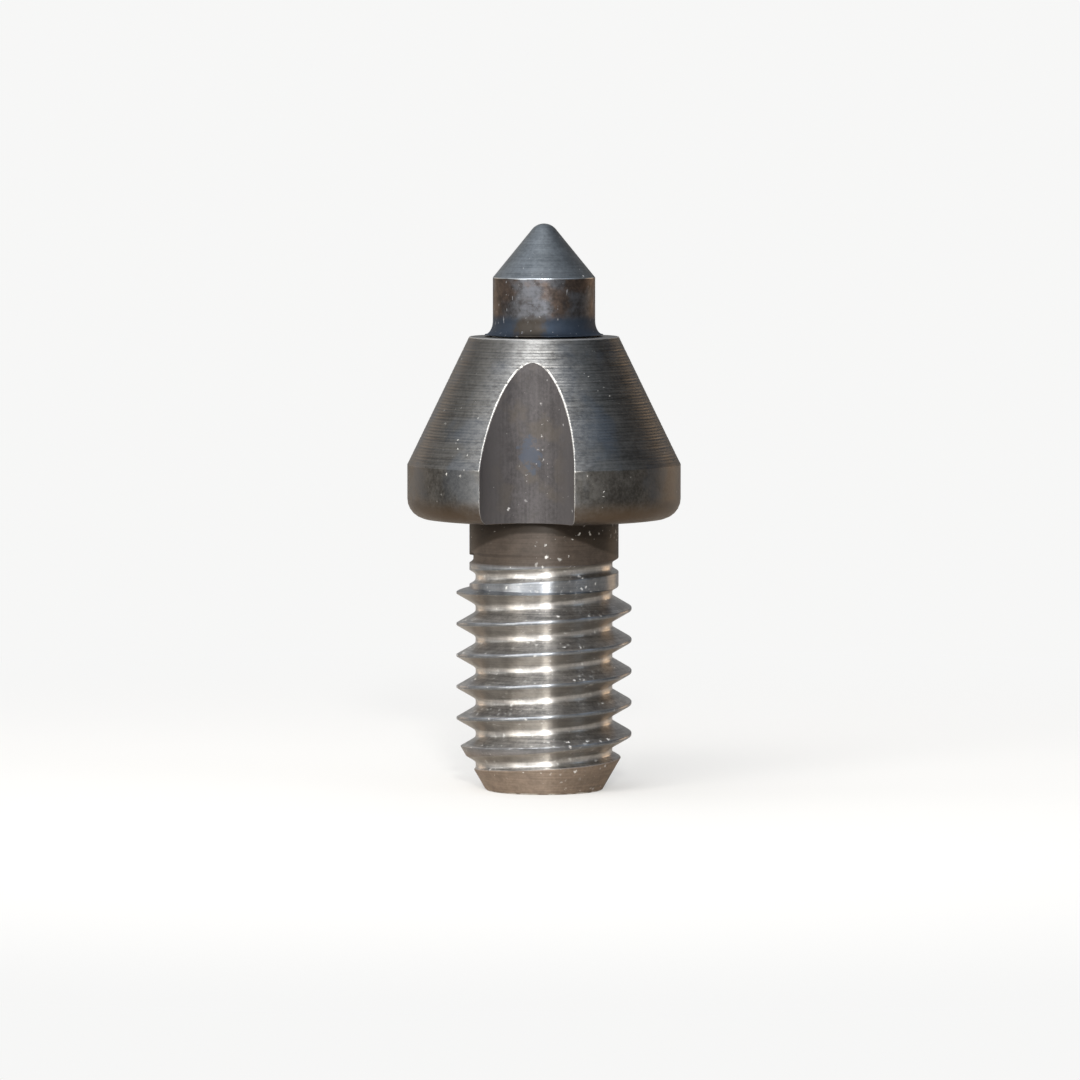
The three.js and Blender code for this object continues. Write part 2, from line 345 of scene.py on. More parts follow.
def wornEdges():
    # A broken mask along the edges that the wear attribute marks.
    tree, given, out = newEffect(
        "wornEdges", {"Wear": 0.0, "Amount": 0.6, "Breakup": 0.5, "Scale": 3.0}, "Mask"
    )
    patches = noise(given["Place"], given["Scale"], 3.0) - 0.5
    rubbed = patches * (given["Breakup"] * 2.0) + given["Wear"]
    limit = 1.0 - given["Amount"]
    feed(out, {"Mask": between(rubbed, limit, limit + 0.3) * between(given["Wear"], 0.05, 0.3)})
    return tree


def cloudyTint():
    # Soft patches, as heat and oil leave on steel.
    tree, given, out = newEffect(
        "cloudyTint", {"Scale": 0.5, "Offset": "Vector", "Low": 0.45, "High": 0.6}, "Mask"
    )
    moved = vectorCalc("ADD", given["Place"], given["Offset"])[0]
    patches = noise(moved, given["Scale"], 4.0, roughness=0.55)
    feed(out, {"Mask": between(patches, given["Low"], given["High"])})
    return tree


def dustSpecks():
    # Single grains of dust and swarf, one in some of the cells, in drifts. They differ in size, shape
    # and how bright they are.
    tree, given, out = newEffect("dustSpecks", {"Cells": 3.0, "Share": 0.3, "Size": 0.14}, "Mask")
    shake = noise(given["Place"], 7.0, 1.0, output="Color")
    shaken = vectorCalc("MULTIPLY_ADD", shake, (0.22, 0.22, 0.22), given["Place"])[0]
    cells = addNode(tree, "ShaderNodeTexVoronoi", {"Vector": shaken, "Scale": given["Cells"]})
    pick, large, faint = addNode(tree, "ShaderNodeSeparateColor", {0: cells["Color"]})
    drift = between(noise(given["Place"], 0.45, 2.0), 0.42, 0.62)
    taken = calc("LESS_THAN", pick, given["Share"] * (drift * 2.0 + 0.15))
    reach = given["Size"] * (calc("POWER", large, 3.0) + 0.35)
    dot = between(cells["Distance"], reach, reach * 0.35)
    feed(out, {"Mask": dot * taken * (faint * faint * 0.75 + 0.2)})
    return tree


def mottledTone():
    # The uneven tone of a heat-treated surface: fine grain, blotches and some streaks of the turning.
    tree, given, out = newEffect(
        "mottledTone", {"Streak": 0.5, "Streaks": 0.3, "Grain": 7.0, "Blotch": 1.1}, "Tone"
    )
    grain = noise(given["Place"], given["Grain"], 5.0, roughness=0.65)
    blotch = noise(given["Place"], given["Blotch"], 4.0, roughness=0.6)
    tone = blendNumbers(given["Streaks"], blendNumbers(0.5, grain, blotch), given["Streak"])
    feed(out, {"Tone": between(tone, 0.36, 0.64)})
    return tree


effects = {
    "marks": turnedMarks(), "edges": wornEdges(), "clouds": cloudyTint(), "dust": dustSpecks(),
    "mottle": mottledTone(),
}
print("effects ready")


def newFinish(name):
    material = bpy.data.materials.new(name)
    material.use_nodes = True
    where = addNode(material.node_tree, "ShaderNodeTexCoord")["Object"]
    place = addNode(where.tree, "ShaderNodeMapping", {"Vector": where, "Scale": (1 / mm,) * 3})["Vector"]
    return material, material.node_tree.nodes["Principled BSDF"], place


def effect(name, place, **inputs):
    return addNode(place.tree, "ShaderNodeGroup", {"Place": place, **inputs}, node_tree=effects[name])


def clouds(place, scale, offset, low, high):
    return effect("clouds", place, Scale=scale, Offset=offset, Low=low, High=high)["Mask"]


def attribute(tree, name):
    return addNode(tree, "ShaderNodeAttribute", attribute_name=name, attribute_type="GEOMETRY")["Fac"]


def bump(height, strength, distance):
    inputs = {"Height": height, "Strength": strength, "Distance": distance * mm}
    return addNode(height.tree, "ShaderNodeBump", inputs)["Normal"]


def wornAndDusty(place, shader, colour, roughness, settings, normal, metal=1.0):
    # Worn edges and dust over a finish's own colour and roughness, then everything into the shader.
    edge = effect(
        "edges", place, Wear=attribute(place.tree, "wear"), Amount=settings["edgeAmount"],
        Breakup=settings["edgeBreakup"], Scale=settings["edgeScale"],
    )["Mask"]
    dust = effect(
        "dust", place, Cells=settings["dustCells"], Share=settings["dustShare"], Size=settings["dustSize"]
    )["Mask"]
    colour = blendColours(edge, colour, settings["bareColour"])
    roughness = blendNumbers(edge, roughness, settings["bareRoughness"])
    feed(shader, {
        "Base Color": blendColours(dust, colour, settings["dustColour"]),
        "Roughness": blendNumbers(dust, roughness, 0.7),
        "Metallic": blendNumbers(dust, metal, 0.2),
        "Normal": normal,
    })


blackening = {
    "dark": (0.062, 0.06, 0.057), "light": (0.125, 0.123, 0.118),
    "blue": (0.085, 0.1, 0.122), "blueShare": 0.55,
    "brown": (0.135, 0.094, 0.06), "brownShare": 0.8, "brownBelow": 12.75,
    "rubbed": (0.32, 0.32, 0.315), "rubbedReach": 1.95, "rubbedShare": 0.62,
    "markSpacing": 0.047, "roughness": 0.4,
    "edgeAmount": 0.55, "edgeBreakup": 0.45, "edgeScale": 2.5,
    "bareColour": (0.38, 0.375, 0.365), "bareRoughness": 0.45,
    "dustCells": 4.4, "dustShare": 0.2, "dustSize": 0.24, "dustColour": (0.52, 0.52, 0.5),
}


def blackenedSteel():
    material, shader, place = newFinish("blackenedSteel")
    x, y, height = split(place)
    marks = effect("marks", place, Spacing=blackening["markSpacing"], Unevenness=0.7)
    onCone = between(height, bandTop - 0.1, bandTop + 0.15)
    tone = effect("mottle", place, Streak=marks["Streak"], Streaks=onCone * 0.4 + 0.05)["Tone"]
    bluish = clouds(place, 0.4, (4.0, 1.0, 3.0), 0.48, 0.64)
    # painted reflection: the rounded underside is tinted warm brown, as it would mirror a warm board below
    low = between(height, blackening["brownBelow"] + 0.7, blackening["brownBelow"] - 0.3)
    # lighter round the scallops, above all over their tops: partly blackening rubbed thin by handling, partly
    # a painted highlight
    aside = calc("ABSOLUTE", y) - scallopOffset
    away = calc("SQRT", x * x + aside * aside) - scallopRadius
    ragged = noise(place, 1.6, 5.0, roughness=0.65) + away
    rubbedAndLit = between(ragged, blackening["rubbedReach"] + 0.35, 0.45) * (onCone * 0.7 + 0.3)
    patchy = between(noise(place, 3.2, 6.0, (1.0, 1.0, 1.6), 0.75), 0.36, 0.62)
    rubbedAndLit = rubbedAndLit * (patchy * 0.75 + 0.4)
    colour = paint(
        blackening["dark"], (tone, blackening["light"]),
        (bluish * blackening["blueShare"], blackening["blue"]),
        (low * blackening["brownShare"], blackening["brown"]),
        (rubbedAndLit * blackening["rubbedShare"], blackening["rubbed"]),
    )
    roughness = tone * 0.12 + (blackening["roughness"] - 0.06)
    relief = marks["Height"] * onCone + noise(place, 14.0, 3.0)
    settings = {**blackening, "edgeAmount": onCone * 0.25 + (blackening["edgeAmount"] - 0.2)}
    wornAndDusty(place, shader, colour, roughness, settings, bump(relief, 0.25, 0.004))
    return material


milling = {
    "dark": (0.044, 0.041, 0.0425), "light": (0.085, 0.0795, 0.082),
    "stain": (0.088, 0.075, 0.06), "stainShare": 0.45,
    "blue": (0.052, 0.064, 0.088), "blueShare": 0.8,
    "spotAt": (-0.1, -3.9, 15.2), "spotStretch": (1.7, 1.0, 1.0), "spotFrom": 2.8, "spotTo": 2.4,
    "rimLight": (0.102, 0.096, 0.098), "rimFrom": 0.85, "rimTo": 2.0,
    "rimWornFrom": 14.5, "rimWornTo": 16.0, "roughness": 0.62, "metal": 0.5,
    "edgeAmount": 0.33, "edgeBreakup": 0.35, "edgeScale": 2.5,
    "bareColour": (0.34, 0.335, 0.325), "bareRoughness": 0.46,
    "dustCells": 4.0, "dustShare": 0.2, "dustSize": 0.26, "dustColour": (0.55, 0.55, 0.55),
}


def milledSteel():
    material, shader, place = newFinish("milledSteel")
    x, _, height = split(place)
    streaks = noise(place, 1.0, 3.0, (9.0, 9.0, 0.25))
    tone = effect("mottle", place, Streak=streaks, Streaks=0.3)["Tone"]
    stained = clouds(place, 0.6, (3.0, 8.0, 1.5), 0.5, 0.62)
    # painted light: the scallop's walls towards both sides are made lighter, to even out their shading
    rim = between(calc("ABSOLUTE", x), milling["rimFrom"], milling["rimTo"])
    # a painted reflection: a ragged blue spot halfway down the scallop
    away = vectorCalc("SUBTRACT", place, milling["spotAt"])[0]
    away = vectorCalc("LENGTH", vectorCalc("MULTIPLY", away, milling["spotStretch"])[0])["Value"]
    ragged = noise(place, 2.6, 5.0, roughness=0.7) * 4.0 + away
    blueReflection = between(ragged, milling["spotFrom"], milling["spotTo"])
    colour = paint(
        milling["dark"], (tone, milling["light"]), (stained * milling["stainShare"], milling["stain"]),
        (rim, milling["rimLight"]), (blueReflection * milling["blueShare"], milling["blue"]),
    )
    relief = streaks * 1.5 + noise(place, 16.0, 3.0)
    roughness = streaks * 0.14 + (milling["roughness"] - 0.07)
    worn = between(height, milling["rimWornFrom"], milling["rimWornTo"])
    settings = {**milling, "edgeAmount": worn * 0.25 + milling["edgeAmount"]}
    wornAndDusty(place, shader, colour, roughness, settings, bump(relief, 0.3, 0.006), milling["metal"])
    return material


hardening = {
    "coneGrey": (0.12, 0.133, 0.142), "coneLight": (0.21, 0.231, 0.246), "coneFrom": 22.98,
    "umber": (0.098, 0.075, 0.064), "smoke": (0.098, 0.104, 0.118),
    "soot": (0.028, 0.025, 0.024), "sootShare": 0.85,
    "navy": (0.038, 0.053, 0.077), "straw": (0.054, 0.047, 0.04), "strawAt": -0.35,
    "heatShare": 0.9, "skirtBelow": 21.3, "skirtDulling": 0.22,
    "scratch": (0.42, 0.44, 0.48), "scratchShare": 0.7,
    "markSpacing": 0.05, "coneRoughness": 0.44, "pilotRoughness": 0.45,
    "edgeAmount": 0.42, "edgeBreakup": 0.6, "edgeScale": 1.2,
    "bareColour": (0.34, 0.37, 0.4), "bareRoughness": 0.36,
    "dustCells": 5.0, "dustShare": 0.26, "dustSize": 0.3, "dustColour": (0.52, 0.53, 0.55),
}


def pointSteel():
    material, shader, place = newFinish("pointSteel")
    x, _, height = split(place)
    marks = effect("marks", place, Spacing=hardening["markSpacing"], Unevenness=0.8)
    tone = effect("mottle", place, Streak=marks["Streak"], Streaks=0.3)["Tone"]
    cone = blendColours(tone, hardening["coneGrey"], hardening["coneLight"])
    smoky = clouds(place, 0.75, (1.3, 7.1, 2.2), 0.42, 0.58)
    blotchy = effect("mottle", place, Streak=marks["Streak"], Streaks=0.08, Grain=4.5, Blotch=1.6)["Tone"]
    # the heat has run straw brown over the skirt's middle and navy beside it
    aside = noise(place, 1.6, 4.0, roughness=0.65) * 1.6 + calc("ABSOLUTE", x - hardening["strawAt"])
    heat = blendColours(between(aside, 1.15, 1.75), hardening["straw"], hardening["navy"])
    skirt = between(height, hardening["skirtBelow"] + 0.15, hardening["skirtBelow"] - 0.25)
    scratched = between(noise(place, 1.0, 2.0, (6.5, 6.5, 2.4)), 0.69, 0.76)
    onCone = between(height, hardening["coneFrom"] - 0.01, hardening["coneFrom"] + 0.01)
    colour = paint(
        hardening["umber"], (smoky, hardening["smoke"]),
        ((1.0 - blotchy) * hardening["sootShare"], hardening["soot"]),
        (skirt * hardening["heatShare"], heat),
        (scratched * hardening["scratchShare"], hardening["scratch"]), (onCone, cone),
    )
    patches = noise(place, 2.5, 4.0)
    roughness = blendNumbers(onCone, hardening["pilotRoughness"], hardening["coneRoughness"])
    roughness = skirt * hardening["skirtDulling"] + roughness
    roughness = patches * 0.2 + (roughness - 0.1)
    normal = bump(marks["Height"] + patches * 2.0, 0.25, 0.005)
    wornAndDusty(place, shader, colour, roughness, hardening, normal)
    return material


brightening = {
    "bright": (0.58, 0.57, 0.552), "grey": (0.44, 0.437, 0.43),
    "under": (0.32, 0.287, 0.248), "underShare": 0.8, "grime": (0.27, 0.273, 0.278),
    "crest": (0.27, 0.287, 0.31), "collar": (0.066, 0.052, 0.042), "collarFrom": 10.2,
    "soot": (0.022, 0.016, 0.011), "sootShare": 0.9, "sootFrom": 11.74, "sootDrop": 0.105,
    "end": (0.215, 0.165, 0.125), "endBelow": 1.35,
    "markSpacing": 0.031, "roughness": 0.34, "anisotropy": 0.85, "alongAxis": 0.25,
    "dullRoughness": 0.62, "dullMetal": 0.25, "dullDustShare": 0.25,
    "edgeAmount": 0.45, "edgeBreakup": 0.5, "edgeScale": 2.0,
    "bareColour": (0.62, 0.6, 0.56), "bareRoughness": 0.25,
    "dustCells": 5.0, "dustShare": 0.95, "dustSize": 0.42, "dustColour": (0.74, 0.74, 0.72),
}


def threadSteel():
    material, shader, place = newFinish("threadSteel")
    x, _, height = split(place)
    marks = effect("marks", place, Spacing=brightening["markSpacing"], Unevenness=0.8)
    tone = effect("mottle", place, Streak=marks["Streak"], Streaks=0.4, Blotch=1.8)["Tone"]
    stains = clouds(place, 0.7, (2.0, 5.0, 1.0), 0.4, 0.66)
    facing, cut = attribute(place.tree, "facing"), attribute(place.tree, "cut")
    # painted reflection: down-facing flanks are tinted warm brown, as they would mirror a warm board below
    under = calc("MAXIMUM", facing * -1.0, 0.0) * brightening["underShare"]
    # painted reflection: up-facing flanks are darkened, mottled, as they would mirror a dark room above and
    # behind
    over = calc("MAXIMUM", facing, 0.0) * (tone * -0.6 + 0.95)
    flanks = paint(
        brightening["bright"], (stains, brightening["grey"]), (under, brightening["under"]),
        (over, brightening["grime"]), (between(cut, 0.5, 0.1), brightening["crest"]),
    )
    rough = tone * 0.5 + 0.72
    onCollar = between(height, brightening["collarFrom"] - 0.12, brightening["collarFrom"] + 0.12)
    # painted shadow of the head on the neck: darkest right under the head, reaching lowest at the sides and
    # least far below the scallops, where light gets in
    headShadow = noise(place, 3.0, 3.0) * 0.12 + (x * x * brightening["sootDrop"] + height)
    headShadow = between(headShadow, brightening["sootFrom"], brightening["sootFrom"] + 0.16)
    # the end chamfer has a matte finish of its own; its warm brown is partly a painted reflection of a warm
    # board below
    onEnd = (1.0 - cut) * between(height, brightening["endBelow"] + 1.0, brightening["endBelow"])
    colour = paint(
        scaled(flanks, tone * 0.4 + 0.8), (onCollar, scaled(brightening["collar"], rough)),
        (headShadow * brightening["sootShare"], brightening["soot"]),
        (onEnd, scaled(brightening["end"], rough)),
    )
    dull = calc("MAXIMUM", onCollar, onEnd)
    roughness = blendNumbers(dull, brightening["roughness"], brightening["dullRoughness"])
    roughness = marks["Streak"] * 0.16 + (roughness - 0.08)
    normal = bump(marks["Height"] + noise(place, 9.0, 3.0), 0.22, 0.004)
    metal = blendNumbers(dull, 1.0, brightening["dullMetal"])
    # turned marks spread the light along the axis
    feed(shader, {
        "Anisotropic": brightening["anisotropy"], "Anisotropic Rotation": brightening["alongAxis"],
    })
    dustShare = blendNumbers(dull, brightening["dustShare"], brightening["dullDustShare"])
    settings = {**brightening, "dustShare": dustShare}
    wornAndDusty(place, shader, colour, roughness, settings, normal, metal)
    return material


def plainMetal(name, first, second, roughness, spacing, strength):
    # A machined finish for what is inside: two tones in streaks round the axis, and fine rings.
    material, shader, place = newFinish(name)
    marks = effect("marks", place, Spacing=spacing, Unevenness=0.8)
    colour = blendColours(between(marks["Streak"], 0.3, 0.7), first, second)
    wear = attribute(place.tree, "wear")
    edge = effect("edges", place, Wear=wear, Amount=0.5, Breakup=0.4, Scale=2.0)["Mask"]
    lighter = tuple(min(1.0, 1.35 * c) for c in second)
    feed(shader, {
        "Base Color": blendColours(edge, colour, lighter), "Metallic": 1.0,
        "Roughness": marks["Streak"] * 0.14 + (roughness - 0.07),
        "Normal": bump(marks["Height"], strength, 0.003),
    })
    return material


def sinteredBronze():
    material, shader, place = newFinish("sinteredBronze")
    pores = addNode(place.tree, "ShaderNodeTexVoronoi", {"Vector": place, "Scale": 16.0})["Distance"]
    hole = between(pores, 0.22, 0.08)
    oily = clouds(place, 0.8, (0.0, 2.0, 5.0), 0.4, 0.65)
    colour = blendColours(oily, (0.5, 0.3, 0.15), (0.36, 0.21, 0.1))
    feed(shader, {
        "Base Color": blendColours(hole, colour, (0.09, 0.05, 0.03)), "Metallic": 1.0,
        "Roughness": blendNumbers(oily, 0.5, 0.36), "Normal": bump(1.0 - hole, 0.5, 0.01),
    })
    return material


def oiledFelt():
    material, shader, place = newFinish("oiledFelt")
    fibres = noise(place, 9.0, 5.0, (1.0, 1.0, 2.6), 0.65)
    feed(shader, {
        "Base Color": blendColours(fibres, (0.02, 0.018, 0.015), (0.12, 0.105, 0.085)),
        "Roughness": 0.9, "Sheen Weight": 0.3, "Normal": bump(fibres, 0.8, 0.03),
    })
    return material


finishes = {
    "blackened": blackenedSteel(),
    "milled": milledSteel(),
    "point": pointSteel(),
    "thread": threadSteel(),
    "bearing": plainMetal("bearingSteel", (0.6, 0.61, 0.63), (0.78, 0.79, 0.8), 0.16, 0.02, 0.06),
    "spring": plainMetal("springSteel", (0.2, 0.24, 0.31), (0.36, 0.38, 0.42), 0.3, 0.04, 0.15),
    "brass": plainMetal("cageBrass", (0.56, 0.38, 0.15), (0.74, 0.55, 0.25), 0.28, 0.05, 0.2),
    "bronze": sinteredBronze(),
    "felt": oiledFelt(),
}
print("finishes ready")


headLow, headHigh = boxOf("nose_housing")
sealLow, sealHigh = boxOf("nose_seal")
frontLow, frontHigh = boxOf("front_bearing_outer_ring")

head = {
    "radius": headHigh.x, "bottom": headLow.z, "top": headHigh.z,
    "topRadius": 3.345, "rimRound": 0.9, "edgeRound": 0.05, "bandEdgeRound": 0.06,
    "boreRadius": frontHigh.x + fit, "lipBottom": frontHigh.z + fit,
    "lipRadius": 2.0, "sealSeat": sealLow.z - fit, "sealSeatRadius": sealHigh.x + fit,
    "registerRadius": 3.365, "registerDepth": 0.3, "endChamfer": 0.035,
    "feed": 0.13, "grooveDepth": 0.008, "rowsPerGroove": 5, "rowStep": 0.12,
    "plainBelow": 0.14, "plainAbove": 0.13, "scallopFade": 0.05,
    "edgeBreak": 0.02, "edgeUnevenness": 0.004, "edgeWear": 0.1,
    "sideColumns": 72, "scallopColumns": 26, "seed": 11,
}


def headRows():
    # The outside from the flat underside's rim up to the top face, as (radius, height, wear) rows.
    slope = (head["radius"] - head["topRadius"]) / (head["top"] - bandTop)
    rim = head["rimRound"]
    corners = [
        (head["radius"] - rim, head["bottom"], 0, 0),
        (head["radius"], head["bottom"], rim, 0),
        (head["radius"], bandTop, head["bandEdgeRound"], 0.45),
        (head["topRadius"], head["top"], head["edgeRound"], 1),
        (head["topRadius"] - 0.3, head["top"], 0, 0),
    ]
    rows = roundCorners(corners, steps=6)[1:-1]
    rows = divide(rows, lambda radius, height: head["rowStep"], closed=False)
    # the long cone: rows fine enough for its feed marks, and closer together where the scallops end
    random = np.random.default_rng(head["seed"])
    apexRadius = scallopOffset - scallopRadius
    apex = head["top"] - (apexRadius - head["topRadius"]) / slope
    low, high = bandTop + head["plainBelow"], head["top"] - head["plainAbove"]
    grooves = round((high - low) / head["feed"])
    depths = head["grooveDepth"] * random.uniform(0.35, 1.5, grooves + 1)
    heights = np.linspace(low, high, grooves * head["rowsPerGroove"] + 1)
    near = apex - np.array([0, 0.002, 0.008, 0.018])
    heights = np.unique(np.concatenate([heights[np.abs(heights - apex) > 0.012], near]))
    cone = []
    for height in heights:
        cycle = (height - low) / (high - low) * grooves
        groove = depths[int(cycle)] * sin(pi * (cycle % 1)) ** 2
        if abs(height - apex) < head["scallopFade"]:
            groove = 0
        cone.append((head["topRadius"] + (head["top"] - height) * slope - groove, height, 0))
    below = [row for row in rows if row[1] < low]
    return below + cone + [row for row in rows if row[1] > high], apex, apexRadius


def headMesh():
    rows, apex, apexRadius = headRows()
    offset, scallop, edgeWear = scallopOffset, scallopRadius, head["edgeWear"]
    random = np.random.default_rng(head["seed"] + 1)
    sides, inside = head["sideColumns"], head["scallopColumns"]
    edgeSteps = (0.035, 0.08)  # distances of the first columns from the scallop's edge, on both faces

    def spread(count, length):
        # count + 1 places along a length, with the edge steps at both ends
        steps = [min(step, length * share) for step, share in zip(edgeSteps, (0.12, 0.24))]
        middle = np.linspace(steps[-1], length - steps[-1], count - 2 * len(steps) + 1)
        return np.concatenate([[0, steps[0]], middle, [length - steps[0], length]])

    def rowPoints(radius, height, wear, burr):
        # one turn of a row: both scallop walls and both sides, from the front scallop's middle round
        cut = radius > apexRadius
        if cut:
            wall = acos((offset**2 + scallop**2 - radius**2) / (2 * offset * scallop))
            half = acos((radius**2 + offset**2 - scallop**2) / (2 * radius * offset))
        else:
            wall = half = 0.0
        blend = min(1.0, max(0.0, 1 - (height - apex) / head["scallopFade"]))
        points, worn = [], []
        for side in (0, 1):
            middle = -pi / 2 + side * pi
            for place in spread(inside, 2 * wall * scallop)[:-1]:
                turn = place / scallop - wall
                x = offset - scallop * cos(turn) if cut else radius
                y = scallop * sin(turn)
                fromEdge = wall * scallop - abs(turn) * scallop
                points.append((x * cos(middle) - y * sin(middle),
                               x * sin(middle) + y * cos(middle), height))
                worn.append(max(wear * (fromEdge < 0.01), blend * max(0.0, 1 - fromEdge / edgeWear)))
            length = (pi - 2 * half) * radius
            for place in spread(sides, length)[:-1]:
                angle = middle + half + place / radius
                fromEdge = min(place, length - place)
                points.append(polar(radius, angle, height))
                rubbed = min(1.0, wear * (1 + 0.9 * exp(-fromEdge / 0.7)))
                worn.append(max(rubbed, blend * max(0.0, 1 - fromEdge / edgeWear)))
        if cut:
            # the four edges themselves are rounded a little, unevenly, as a deburred edge is
            for k in (0, inside, inside + sides, 2 * inside + sides):
                x, y, _ = points[k]
                centre = copysign(offset, y)
                out = Vector((x, y)).normalized() + Vector((-x, centre - y)).normalized()
                out.normalize()
                pull = (head["edgeBreak"] - burr) * min(1.0, wall * 4)
                points[k] = (x - out.x * pull, y - out.y * pull, height)
        return points, worn

    points, wear, faces, milled = [], [], [], []
    columns = 2 * (sides + inside)
    isWall = [(k % (sides + inside)) < inside for k in range(columns)]
    burrs = np.convolve(random.normal(0, head["edgeUnevenness"], len(rows) + 8), np.ones(9) / 3, "valid")
    for index, (radius, height, worn) in enumerate(rows):
        made, madeWear = rowPoints(radius, height, worn, burrs[index] * (height > bandTop))
        points += made
        wear += madeWear
    lift = head["endChamfer"]
    for k in range(columns):
        if isWall[k] or isWall[k - 1]:  # the scallop's lower end has a small chamfer
            x, y, height = points[k]
            points[k] = (x, y, height + lift)
            wear[k] = 0.8
    for row in range(len(rows) - 1):
        closed = rows[row][0] <= apexRadius and rows[row + 1][0] <= apexRadius
        for onWall, face in zip(isWall, bridge(row * columns, (row + 1) * columns, columns)):
            if not (closed and onWall):
                faces.append(face)
                milled.append(onWall)

    first = points[:columns]

    def addRing(radiusFrom, height, above):
        # a ring of the first row's columns, joined to the ring that starts at above
        start = len(points)
        points.extend(polar(radiusFrom(hypot(x, y)), atan2(y, x), height) for x, y, _ in first)
        wear.extend([0.0] * columns)
        faces.extend(bridge(start, above, columns))
        return start

    before = addRing(lambda radius: radius - lift, head["bottom"], 0)
    register = head["bottom"] + head["registerDepth"]
    inner = (
        (head["registerRadius"], head["bottom"]),
        (head["registerRadius"], register),
        (head["boreRadius"], register),
        (head["boreRadius"], head["lipBottom"]),
        (head["lipRadius"], head["lipBottom"]),
        (head["lipRadius"], head["sealSeat"]),
        (head["sealSeatRadius"], head["sealSeat"]),
        (head["sealSeatRadius"], head["top"]),
    )
    for radius, height in inner:
        before = addRing(lambda _: radius, height, before)
    # the top face: the wall columns have closed up there, so each is one point to the outside
    top = bridge(before, (len(rows) - 1) * columns, columns)
    faces += [face[:3] if onWall else face for onWall, face in zip(isWall, top)]
    milled += [False] * (len(faces) - len(milled))
    return points, faces, wear, milled


points, faces, wear, milled = headMesh()
housing = closePiece(makePiece("noseHousing", points, faces, wear), milled)
sharpen(housing, 50)
finishPiece(housing, "shank", "blackened_steel", ["nose_housing"], "blackened", "milled")
print("nose housing ready")


pointLow, pointHigh = boxOf("center_point")
clipLow, clipHigh = boxOf("retaining_ring")

point = {
    "tip": pointHigh.z, "tail": pointLow.z, "skirtRadius": pointHigh.x,
    "tipRound": 0.69, "halfAngle": radians(39.2), "pilotRadius": 2.29, "shoulderRound": 0.05,
    "skirtBottom": headHigh.z + 0.07, "skirtRim": 0.03, "skirtHeight": 0.62,
    "hubRadius": 1.85, "journalRadius": 1.48, "tailRadius": 1.25, "clipGroove": 0.05, "clipGap": 0.03,
    "feed": 0.07, "grooveDepth": 0.0022, "segments": 176, "seed": 5,
}


def pointOutline():
    half, tipRound = point["halfAngle"], point["tipRound"]
    tangentRadius = tipRound * cos(half)
    tangentHeight = point["tip"] - tipRound + tipRound * sin(half)
    coneBase = tangentHeight - (point["pilotRadius"] - tangentRadius) / tan(half)
    bearingTop = frontHigh.z + fit
    clipBottom, clipTop = clipLow.z - point["clipGap"], clipHigh.z + point["clipGap"]
    grooveRadius = point["tailRadius"] - point["clipGroove"]
    foot = [
        (0, point["tail"], 0, 0),
        (point["tailRadius"], point["tail"], 0.12, 0),
        (point["tailRadius"], clipBottom, 0, 0),
        (grooveRadius, clipBottom, 0, 0),
        (grooveRadius, clipTop, 0, 0),
        (point["journalRadius"], clipTop, 0.04, 0),
        (point["journalRadius"], bearingTop, 0, 0),
        (point["hubRadius"], bearingTop, 0.04, 0),
        (point["hubRadius"], point["skirtBottom"], 0.03, 0),
        (point["skirtRadius"], point["skirtBottom"], 0, 0),
    ]
    reach = point["skirtRadius"] - point["pilotRadius"]
    rim = point["skirtBottom"] + point["skirtRim"]
    skirt = [
        (point["skirtRadius"] - reach * sin(angle),
         rim + point["skirtHeight"] * (1 - cos(angle)), 0, 0)
        for angle in np.linspace(0, pi / 2, 15)
    ]
    cap = [
        (tipRound * cos(angle), point["tip"] - tipRound + tipRound * sin(angle), 0, 0)
        for angle in np.linspace(half, pi / 2, 16)[:-1]
    ]
    shoulder = (point["pilotRadius"], coneBase, point["shoulderRound"], 1)
    outline = roundCorners([*foot, *skirt, shoulder, *cap, (0, point["tip"], 0, 0)], guard=0.05)
    fineFrom = point["skirtBottom"] + point["skirtHeight"]

    def stepAt(radius, height):
        return point["feed"] / 4 if height > coneBase else 0.1 if height > fineFrom else 0.3

    outline = divide(outline, stepAt, closed=False)
    random = np.random.default_rng(point["seed"])
    depths = point["grooveDepth"] * random.uniform(0.3, 1.6, 400)
    marked = []
    for radius, height, wear in outline:
        if coneBase + 0.08 < height < point["tip"] - 0.3:
            cycle = (height - coneBase) / point["feed"]
            radius -= depths[int(cycle)] * sin(pi * (cycle % 1)) ** 2
        marked.append((radius, height, wear))
    return marked


spindle = turnPiece("centerPoint", pointOutline(), point["segments"], closed=False)
finishPiece(spindle, "point", "point_steel", ["center_point"], "point")
print("point ready")


shankLow, shankHigh = boxOf("threaded_shank")
seatLow, seatHigh = boxOf("thrust_seat")

shank = {
    "bottom": shankLow.z, "spigotTop": shankHigh.z, "majorRadius": 3.93, "neckRadius": 3.345,
    "endRadius": 2.62, "slope": sqrt(3), "drillRadius": 0.6,
    "threadTop": 8.95, "neckStart": 9.1,
    "shoulder": headLow.z + head["registerDepth"] - fit, "spigotRadius": frontHigh.x - fit,
    "boreRadius": 1.8, "boreBottom": seatLow.z - fit, "clipRecessRadius": 2.3, "clipRecessDepth": 0.4,
    "cutTo": 11.1,
    "segments": 144, "threadStep": 0.028, "plainStep": 0.25,
}

thread = {
    "Pitch": 25.4 / 18 * mm, "Root Radius": 3.07 * mm, "Root Half Width": 0.15 * mm,
    "Flank Slope": tan(radians(30)), "Root Height At X": (8.13 + 25.4 / 36) * mm,
    "Feed Turns": 0.45, "Slow Turns": 1.6, "Runout Turns": 0.7, "Runout Lift": 0.4 * mm,
    "Root Rounding": 0.2 * mm, "Crest Rounding": 0.05 * mm, "Unevenness": 0.012 * mm,
}


